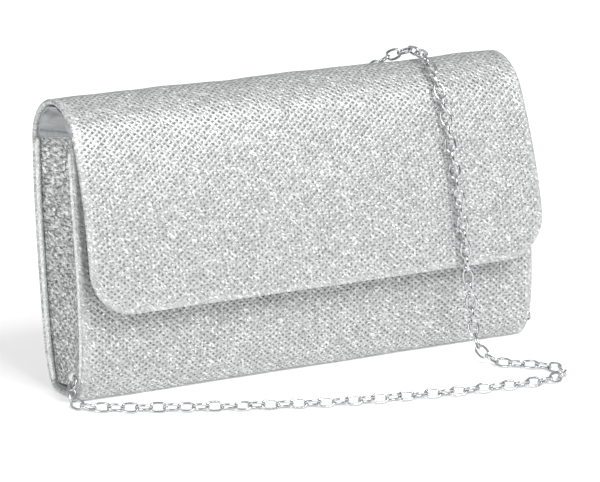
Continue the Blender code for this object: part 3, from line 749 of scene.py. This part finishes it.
def makeWalls():
    cloth = (0.0, sideShape["cloth"])
    swell = wallShape["swell"]
    piece = wallPlate("outer_body_cloth", (0.0, backSplitArc), halfWidth, cloth, silverMesh, True, False,
                      swell=swell)
    finishPiece(piece, "body", "silver_mesh_fabric", "outer_shell", "left_edge_binding", "right_edge_binding",
                "front_top_facing")
    piece = wallPlate("outer_rear_fold_cloth", (backSplitArc, crestArc), halfWidth, cloth, silverMesh, False,
                      False, swell=swell)
    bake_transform(piece)
    finishPiece(piece, None, "silver_mesh_fabric", "flap_top_shell", "flap_top_left_binding",
                "flap_top_right_binding")
    piece = wallPlate("outer_flap_cloth", (crestArc, flapEnd), halfWidth, cloth, silverMesh, False, True,
                      corner=wallShape["flapCorner"], swell=swell)
    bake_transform(piece)
    finishPiece(piece, None, "silver_mesh_fabric", "flap_shell", "flap_edge_binding")


makeWalls()
print("stage: outer cloth")


liningShape = {
    "depths": (2.5, 3.1), "start": 7.0, "bodyIn": 2.2, "flapIn": 5.0, "flapCorner": 17.5,
    "folds": ((0.19, 61.0, 90.0, 0.9), (0.11, 27.0, 70.0, 2.1)), "bulge": 1.6,
}


def makeLinings():
    # The satin follows the cloth's swell, with soft folds of its own on top.
    shape = liningShape
    depths = shape["depths"]
    folds = wallShape["swell"] + shape["folds"]

    def sag(x, s):
        # Near the bag's two ends the satin stands away from the board in soft upright folds: the bulge times
        # a slanting sine, with both fading out towards the middle, the ends and the foot.
        fromMiddle = np.clip((np.abs(x) - 88.0) / 26.0, 0.0, 1.0)
        nearEnd = fromMiddle * np.clip((118.0 - np.abs(x)) / 8.0, 0.0, 1.0)
        upper = np.clip((s - (bodyEnd - 60.0)) / 30.0, 0.0, 1.0)
        return shape["bulge"] * nearEnd * upper * (0.55 + 0.45 * np.sin(np.abs(x) / 4.2 + s / 26.0))

    half = halfWidth - shape["bodyIn"]
    piece = wallPlate("body_lining_satin", (shape["start"], backSplitArc), half, depths, satin, True, False,
                      swell=folds, extra=sag)
    finishPiece(piece, "body", "grey_satin", "front_lining", "base_lining", "back_lining")
    piece = wallPlate("rear_fold_lining_satin", (backSplitArc, crestArc), half, depths, satin, False, False,
                      swell=folds, extra=sag)
    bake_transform(piece)
    finishPiece(piece, None, "grey_satin", "flap_top_lining")
    piece = wallPlate("flap_lining_satin", (crestArc, flapEnd - shape["flapIn"]), half, depths, satin, False,
                      True, corner=shape["flapCorner"], swell=folds)
    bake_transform(piece)
    finishPiece(piece, None, "grey_satin", "flap_lining")


makeLinings()
print("stage: linings")


gussetShape = {
    "recess": 2.0, "foldTop": 15.0, "foldFoot": 2.0, "swell": 0.5, "creaseWidth": 0.16, "seamDepth": 3.0,
    "topOver": 2.2, "levels": 70, "columns": 46, "sheet": 0.9, "lining": 0.6, "gap": 0.25,
    "hemRadius": 0.75, "hemIn": 0.35, "hemDrop": 0.2, "weltRadius": 1.25, "weltIn": 1.1, "weltOut": 0.9,
    "fullness": 1.25, "grainStretch": 0.62,
}


def gussetFrame():
    # Heights up the gusset, and the front and back seam's y at each one.
    low, high = nodeBox("left_gusset")
    z = np.linspace(low[2], high[2] + gussetShape["topOver"], gussetShape["levels"])
    depth = gussetShape["seamDepth"]
    front = np.array([onLine(skin, arcAtHeight(value, "front"), depth)[0] for value in z]).ravel()
    back = np.array([onLine(skin, arcAtHeight(value, "back"), depth)[0] for value in z]).ravel()
    return z, front, back


def gussetRoof(w, share):
    # 1 - |w| with its peak rounded off, and a little fuller on both slopes towards the top.
    soft = gussetShape["creaseWidth"]
    edge = math.sqrt(1 + soft ** 2) - soft
    return 1 - (np.sqrt(w ** 2 + soft ** 2) - soft) / edge + 0.10 * share * np.sin(math.pi * w) ** 2


def gussetSurface(z, front, back, inward, sign):
    # Across the gusset w runs from -1 at the front seam to 1 at the back one. The fold goes in by a depth
    # that grows with height, times a rounded roof 1 - |w|. A slow swell keeps the cloth from lying dead flat.
    shape = gussetShape
    w = np.linspace(-1.0, 1.0, shape["columns"])[None, :]
    share = ((z - z[0]) / (z[-1] - z[0]))[:, None]
    fold = shape["foldFoot"] + (shape["foldTop"] - shape["foldFoot"]) * share
    roof = gussetRoof(w, share)
    swell = shape["swell"] * share * np.sin(z[:, None] / 9.5 + 2.0 * w) * (1 - w ** 2)
    x = sign * (halfWidth - shape["recess"] - inward - fold * roof - swell)
    middle, reach = (front + back)[:, None] / 2, (back - front)[:, None] / 2
    y = middle + reach * w
    return np.stack([x, y + 0 * x, z[:, None] + 0 * x], axis=-1)


def sheetBetween(name, first, second, u, v, material):
    # Closes two matching grids into one sheet. u and v place its rows and columns on the flat cloth.
    points = np.concatenate([first.reshape(-1, 3), second.reshape(-1, 3)])
    quads = twoFaceQuads(*first.shape[:2])
    a, b = np.meshgrid(u, v, indexing="ij")
    flat = np.stack([a, b], axis=-1).reshape(-1, 2)
    flat = np.concatenate([flat, flat])
    return makePiece(name, flared(points), quads, material, flat[quads], np.full(len(points), farFromRim))


def tubeAlong(name, path, radii, material, sides=10):
    # A round tube along a path: circles stand square to the path, and both ends close to a point.
    path = np.asarray(path, float)
    along = unit(np.gradient(path, axis=0))
    first = unit(np.cross(along, np.array([0.31, 0.17, 0.93])))  # any slanting direction will do
    second = np.cross(along, first)
    turn = np.linspace(0.0, math.tau, sides, endpoint=False)
    radii = np.broadcast_to(radii, len(path)).astype(float).copy()
    radii[[0, -1]] = 0.0
    rings = path[:, None] + radii[:, None, None] * (np.cos(turn)[None, :, None] * first[:, None]
                                                    + np.sin(turn)[None, :, None] * second[:, None])
    n = len(path)
    girth = np.linspace(0.0, math.tau * float(np.max(radii)), sides + 1)
    return makePiece(name, flared(rings.reshape(-1, 3)), gridQuads(n, sides, wrapColumns=True), material,
                     gridCorners(arcsOf(path), girth), np.full(n * sides, farFromRim), sharp=60.0)


def makeGussets():
    shape = gussetShape
    z, front, back = gussetFrame()
    across = np.linspace(0.0, 1.0, shape["columns"]) * float(np.mean(back - front)) * shape["fullness"]
    grainAcross = across * shape["grainStretch"]
    for side, sign in (("left", -1), ("right", 1)):
        outer = gussetSurface(z, front, back, 0.0, sign)
        inner = gussetSurface(z, front, back, shape["sheet"], sign)
        cloth = sheetBetween(f"{side}_gusset_cloth", outer, inner, z, grainAcross, silverGussetPaintedShade)
        finishPiece(cloth, "body", "silver_mesh_fabric", f"{side}_gusset")
        satinIn = shape["sheet"] + shape["gap"]
        satinOuter = gussetSurface(z, front, back, satinIn, sign)
        satinInner = gussetSurface(z, front, back, satinIn + shape["lining"], sign)
        piece = sheetBetween(f"{side}_gusset_satin", satinOuter, satinInner, z, across, satin)
        finishPiece(piece, "body", "grey_satin", f"{side}_gusset_lining")
        # The turned hem along the top, and a welt in each seam.
        top = gussetSurface(z, front, back, shape["hemIn"], sign)[-1]
        hem = top + np.array([0.0, 0.0, -shape["hemDrop"]])
        piece = tubeAlong(f"{side}_gusset_hem", hem, shape["hemRadius"], silverGussetPaintedShade, sides=12)
        finishPiece(piece, "body", "silver_mesh_fabric")
        for seam, column in (("front", 0), ("back", -1)):
            line = gussetSurface(z, front, back, -shape["weltOut"], sign)[:, column]
            inwards = shape["weltIn"] if seam == "front" else -shape["weltIn"]
            piece = tubeAlong(f"{side}_gusset_{seam}_welt", line + np.array([0.0, inwards, 0.0]),
                              shape["weltRadius"], silverTrimPaintedLight)
            finishPiece(piece, "body", "silver_mesh_fabric")


makeGussets()


# The ridge, the hollow and the brow each give a height in millimetres, and then where they lie and how
# wide they are, as shares of the way across or up. The brow has a dip under it, whose place comes third.
wingShape = {
    "recess": 1.6, "lowest": 112.5, "crestGap": 3.7, "levels": 60, "columns": 64, "sheet": 0.7,
    "behindGusset": 3.2, "clearOfPanel": 3.5, "clearOfFlap": 3.5, "girth": 36.0,
    "ridge": (3.6, 0.52, 0.22), "ridgeLean": 0.34, "hollow": (6.4, 0.02, 0.34),
    "brow": (2.0, 0.97, 0.84, 0.07),
    "rollRadius": 1.9, "roll": 119.5, "seatTop": (117.0, 119.4), "swellOver": (0.30, 0.60), "keepOpen": 0.12,
}


def bell(value, place, width):
    return np.exp(-((value - place) / width) ** 2)


def makeLiningWings():
    # Above each gusset the satin lining stands as a soft arch between the panels. At a height z it runs from
    # the front line to the back one. Low down it follows the gusset's fold, and higher up it swells out to
    # the arch. The ridge and the hollow across it and the brow at its top are bell curves.
    shape = wingShape
    share = np.sin(np.linspace(0.0, math.pi / 2, shape["levels"]))
    z = shape["lowest"] + (crestHeight - shape["crestGap"] - shape["lowest"]) * share
    flapSide = (skin["s"] > crestArc) & (skin["s"] < topEnd + 40.0)
    backSide = (skin["s"] > bodyEnd - 40.0) & (skin["s"] <= crestArc)

    def edgeAt(mask, depth):
        y, level = onLine(skin, skin["s"][mask], depth)
        order = np.argsort(level)
        return np.interp(z, level[order], y[order])

    front = edgeAt(flapSide, shape["clearOfFlap"])
    panelTop = rearFold[1] + 2.5
    panel = np.array([onLine(skin, arcAtHeight(min(value, panelTop), "front"), shape["clearOfPanel"])[0]
                      for value in z]).ravel()
    front = np.where(z < panelTop + 2.0, np.maximum(front, panel), front)
    front = np.convolve(np.pad(front, 3, mode="edge"), np.ones(7) / 7, "valid")
    back = edgeAt(backSide, shape["clearOfFlap"])
    w = np.linspace(-1.0, 1.0, shape["columns"])[None, :]
    up = ((z - z[0]) / (z[-1] - z[0]))[:, None]
    middle, reach = (front + back)[:, None] / 2, (back - front)[:, None] / 2
    y = middle + reach * w
    seat = halfWidth - gussetShape["recess"] - gussetShape["foldTop"] * gussetRoof(w, 1.0)
    low = seat - shape["behindGusset"] * (1 - smoothStep(z, *shape["seatTop"])[:, None])
    ridgeHeight, ridgeAt, ridgeWide = shape["ridge"]
    fold = ridgeHeight * bell(w, ridgeAt - shape["ridgeLean"] * up, ridgeWide) * (1.15 - up)
    hollowDepth, hollowAt, hollowWide = shape["hollow"]
    hollow = hollowDepth * bell(w, hollowAt, hollowWide) * (0.35 + 0.65 * np.sin(math.pi * up) ** 2)
    browHeight, browAt, dipAt, browWide = shape["brow"]
    brow = browHeight * (bell(up, browAt, browWide) - bell(up, dipAt, browWide))
    high = halfWidth - shape["recess"] + fold - hollow + brow - 1.0 * up + 0.25 * np.sin(7.0 * w + 9.0 * up)
    swell = smoothStep(up, *shape["swellOver"])
    for side, sign in (("left", -1), ("right", 1)):
        x = sign * ((1 - swell) * low + swell * high)
        outer = np.stack([x, y + 0 * x, z[:, None] + 0 * x], axis=-1)
        inner = outer - np.array([sign * shape["sheet"], 0.0, 0.0])
        across = np.linspace(0.0, shape["girth"], shape["columns"])
        wing = sheetBetween(f"{side}_lining_wing", outer, inner, z, across, satin)
        finishPiece(wing, "body", "grey_satin")
        row = int(np.argmin(np.abs(z - shape["roll"])))
        line = np.stack([sign * (seat[0] - 0.3), y[row], 0 * seat[0] + shape["roll"]], axis=-1)
        piece = tubeAlong(f"{side}_lining_roll", line, shape["rollRadius"], satin, sides=14)
        finishPiece(piece, "body", "grey_satin")
        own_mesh(wing)


makeLiningWings()
print("stage: gussets")


pocketShape = {
    "depths": (3.3, 4.3), "bandDepths": (3.3, 4.7), "band": 6.0, "underBand": 1.0,
    "stitchPitch": 3.0, "stitchIn": 1.6, "stitchMargin": 3.0, "stitchHalf": 1.05, "stitchThick": 0.26,
}


def stitchRow(name, x, s, depth, body, lengthWise):
    # Short thread bars laid end to end. The square of a bar's radius falls off as the fourth power of the way
    # from its middle to its end, and its middle stands just proud of the cloth.
    shape = pocketShape
    count, bands, sides = len(x), 5, 6
    y, z = onLine(skin, s, depth)
    y2, z2 = onLine(skin, s + (1.0 if lengthWise else 0.0), depth)
    centre = np.stack([x, y, z], axis=1)
    along = unit(np.stack([0 * x + (0.0 if lengthWise else 1.0), y2 - y, z2 - z], axis=1))
    yIn, zIn = onLine(skin, s, depth + 1.0)
    up = unit(np.stack([0 * x, yIn - y, zIn - z], axis=1))
    third = np.cross(along, up)
    t = np.linspace(-1.0, 1.0, bands)
    girth = shape["stitchThick"] * np.sqrt(np.maximum(1 - t ** 4, 0.0))
    turn = np.linspace(0.0, math.tau, sides, endpoint=False)
    rings = (centre[:, None, None] + (shape["stitchHalf"] * t)[None, :, None, None] * along[:, None, None]
             + girth[None, :, None, None] * (np.cos(turn)[None, None, :, None] * up[:, None, None]
                                             + np.sin(turn)[None, None, :, None] * third[:, None, None]))
    one = gridQuads(bands, sides, wrapColumns=True)
    quads = (one[None] + (np.arange(count) * bands * sides)[:, None, None]).reshape(-1, 4)
    corners = np.tile(gridCorners(t, np.linspace(0, 1, sides + 1)), (count, 1, 1))
    piece = makePiece(name, flared(rings.reshape(-1, 3)), quads, silverTrimPaintedLight, corners,
                      np.full(count * bands * sides, farFromRim), sharp=70.0)
    return finishPiece(piece, body, "silver_mesh_fabric")


def makePocket():
    shape = pocketShape
    low, high = nodeBox("slip_pocket")
    foot, top = arcAtHeight(low[2], "back"), arcAtHeight(high[2], "back")
    half = float(high[0])
    bandFoot = top - shape["band"]
    satinTop = bandFoot + shape["underBand"]
    pocket = wallPlate("pocket_satin", (foot, satinTop), half, shape["depths"], satin, True, True,
                       swell=wallShape["swell"])
    finishPiece(pocket, "body", "grey_satin", "slip_pocket")
    band = wallPlate("pocket_band_satin", (bandFoot, top), half, shape["bandDepths"], satin, True, True)
    finishPiece(band, "body", "grey_satin", "pocket_band")
    pitch, stitchIn, margin = shape["stitchPitch"], shape["stitchIn"], shape["stitchMargin"]
    onBand, onPocket = shape["bandDepths"][1], shape["depths"][1]
    x = np.arange(-half + margin, half - margin + 1.0, pitch)
    stitchRow("pocket_band_stitches", x, 0 * x + bandFoot + stitchIn, onBand, "body", False)
    rows = np.arange(foot + margin, bandFoot - 1.0, pitch)
    sides = np.concatenate([0 * rows - half + stitchIn, 0 * rows + half - stitchIn])
    stitchRow("pocket_side_stitches", sides, np.tile(rows, 2), onPocket, "body", True)
    stitchRow("pocket_foot_stitches", x, 0 * x + foot + stitchIn, onPocket, "body", False)


def turnedPiece(name, profile, centre, axis, material, segments=64):
    # The profile's (radius, height) pairs swept round the axis through the centre.
    profile = np.array(profile, float)
    axis = unit(np.array(axis, float)[None])[0]
    first = np.array([1.0, 0.0, 0.0])
    second = np.cross(axis, first)
    turn = np.linspace(0.0, math.tau, segments, endpoint=False)
    ring = np.cos(turn)[:, None] * first + np.sin(turn)[:, None] * second
    points = np.array(centre) + profile[:, 1, None, None] * axis + profile[:, 0, None, None] * ring[None]
    quads = gridQuads(len(profile), segments, wrapColumns=True)
    return makePiece(name, points.reshape(-1, 3), quads, material, sharp=30.0)


# Profiles as (radius, height) pairs: rounded shoulders and a shallow groove round the face. The stud's nose
# fits the socket's bore.
snapShape = {
    "socket": [(0, 0), (8.6, 0), (9.0, 0.4), (9.0, 3.0), (8.8, 3.45), (8.4, 3.7), (6.6, 3.8), (6.3, 3.5),
               (5.9, 3.5), (5.6, 3.8), (4.1, 3.8), (3.8, 3.5), (3.8, 1.2), (0, 1.2)],
    "stud": [(0, 0), (8.6, 0), (9.0, 0.4), (9.0, 2.4), (8.8, 2.85), (8.4, 3.1), (6.6, 3.2), (6.3, 2.9),
             (5.9, 2.9), (5.6, 3.2), (2.6, 3.2), (2.6, 4.4), (2.3, 4.75), (0, 4.8)],
    "seatGap": 0.25,
}


def snapHalf(name, node, side, depth, way, profile, body):
    # One half of the snap, seated on the wall at its node's height. way is 1 to face into the bag and -1 to
    # face out of it.
    low, high = nodeBox(node)
    s = arcAtHeight((low[2] + high[2]) / 2, side)
    seat = np.array([0.0, *onLine(skin, s, depth)])
    facing = way * unit((np.array([0.0, *onLine(skin, s, depth + 1.0)]) - seat)[None])[0]
    finishPiece(turnedPiece(name, profile, seat, facing, snapSteel), body, "silver_metal", node)


def makeSnap():
    gap, wall = snapShape["seatGap"], sideShape["wall"]
    snapHalf("snap_socket_cup", "snap_socket", "front", -gap, -1.0, snapShape["socket"], "body")
    snapHalf("snap_stud_cap", "snap_stud", "flap", wall + gap, 1.0, snapShape["stud"], "flap")


def ringPiece(name, centre, first, second, radius, section, material, around=48):
    # A closed ring: the section's (outward, sideways) pairs carried round a circle of the radius.
    turn = np.linspace(0.0, math.tau, around, endpoint=False)
    out = np.cos(turn)[:, None] * first + np.sin(turn)[:, None] * second
    aside = np.cross(first, second)
    section = np.array(section, float)
    points = (np.array(centre) + radius * out[:, None] + section[None, :, 0, None] * out[:, None]
              + section[None, :, 1, None] * aside)
    corners = gridCorners(np.linspace(0.0, math.tau * radius, around + 1),
                          np.linspace(0.0, 8.0, len(section) + 1))
    quads = gridQuads(around, len(section), wrapRows=True, wrapColumns=True)
    return makePiece(name, flared(points.reshape(-1, 3)), quads, material, corners,
                     np.full(around * len(section), farFromRim), sharp=60.0)


anchorShape = {"loop": 2.1, "strapHalves": (0.42, 1.5), "ring": 3.1, "wire": 0.62, "squareness": 0.6}


def makeAnchors():
    # Each anchor is a strap bent round into a loop, whose section is a squared oval, and a wire ring
    # through it.
    shape = anchorShape
    turn = np.linspace(0.0, math.tau, 12, endpoint=False)
    wire = np.stack([shape["wire"] * np.cos(turn), shape["wire"] * np.sin(turn)], axis=1)
    band = np.stack([half * np.sign(wave) * np.abs(wave) ** shape["squareness"]
                     for half, wave in zip(shape["strapHalves"], (np.cos(turn), np.sin(turn)))], axis=1)
    lengthways, backwards, upwards = np.eye(3)
    for side in ("left", "right"):
        low, high = nodeBox(f"{side}_anchor_strap")
        middle = (low + high) / 2
        piece = ringPiece(f"{side}_anchor_loop", middle, lengthways, upwards, shape["loop"], band,
                          silverTrimPaintedLight)
        finishPiece(piece, "body", "silver_mesh_fabric", f"{side}_anchor_strap")
        low, high = nodeBox(f"{side}_anchor_ring")
        centre = (low + high) / 2
        down = unit((centre - middle)[None])[0]
        piece = ringPiece(f"{side}_anchor_wire_ring", centre, down, backwards, shape["ring"], wire, chrome)
        finishPiece(piece, "body", "silver_metal", f"{side}_anchor_ring")


makePocket()
makeSnap()
makeAnchors()
for node, solid in frame["nodes"].items():
    for ending, stuff in (("_board", boardStuff), ("_washer", snapSteel)):
        if node.endswith(ending):
            solid.data.materials.clear()
            solid.data.materials.append(stuff)
print("stage: pocket, snap and anchors")


studio = {
    "floorSize": 14.0, "floorTone": (0.95, 0.95, 0.95), "floorGlow": 0.24,
    "worldLow": 0.12, "worldHigh": 0.54, "aim": (0.0, 0.0, 0.06),
    # each lamp's place, width in metres and power
    "key": ((0.45, -2.1, 2.2), 1.6, 80.0),
    "fill": ((-2.2, -1.2, 1.1), 1.3, 20.0),
    "back": ((0.3, 1.8, 2.0), 1.4, 5.0),
}


def makeStudio():
    size = studio["floorSize"] / 2
    mesh = bpy.data.meshes.new("floor")
    corners = [(-size, -size, 0), (size, -size, 0), (size, size, 0), (-size, size, 0)]
    mesh.from_pydata(corners, [], [(0, 1, 2, 3)])
    material, tree, shader = startMaterial("floorPaper")
    fine = noiseOf(tree, addNode(tree, "ShaderNodeTexCoord").outputs["Object"], 60.0, 3.0)
    tone = studio["floorTone"]
    feed(tree, shader, Base_Color=mixOf(tree, fine, tone, tuple(c * 0.985 for c in tone)), Roughness=0.8,
         Emission_Color=(1.0, 1.0, 1.0), Emission_Strength=studio["floorGlow"])
    mesh.materials.append(material)
    floor = bpy.data.objects.new("floor", mesh)
    scene.collection.objects.link(floor)
    world = bpy.data.worlds.new("studio")
    world.use_nodes = True
    # The room is darker at the height of the horizon than overhead, which gives polished metal its dark
    # edges.
    sky = world.node_tree
    direction = addNode(sky, "ShaderNodeTexCoord").outputs["Generated"]
    upward = addNode(sky, "ShaderNodeSeparateXYZ", direction).outputs[2]
    level = rampOf(sky, upward, 0.05, 0.65, studio["worldLow"], studio["worldHigh"])
    sky.links.new(level, sky.nodes["Background"].inputs["Strength"])
    sky.nodes["Background"].inputs[0].default_value = (1.0, 1.0, 1.0, 1.0)
    scene.world = world
    for name in ("key", "fill", "back"):
        place, width, power = studio[name]
        data = bpy.data.lights.new(name, "AREA")
        data.size = width
        data.energy = power
        lamp = bpy.data.objects.new(name, data)
        lamp.location = place
        aim = np.array(studio["aim"]) - np.array(place)
        tilt, turn = math.atan2(math.hypot(aim[0], aim[1]), -aim[2]), math.atan2(aim[0], -aim[1]) + math.pi
        lamp.rotation_euler = (tilt, 0.0, turn)
        scene.collection.objects.link(lamp)
    scene.view_settings.view_transform = "Standard"


makeStudio()
print("stage: floor and light")
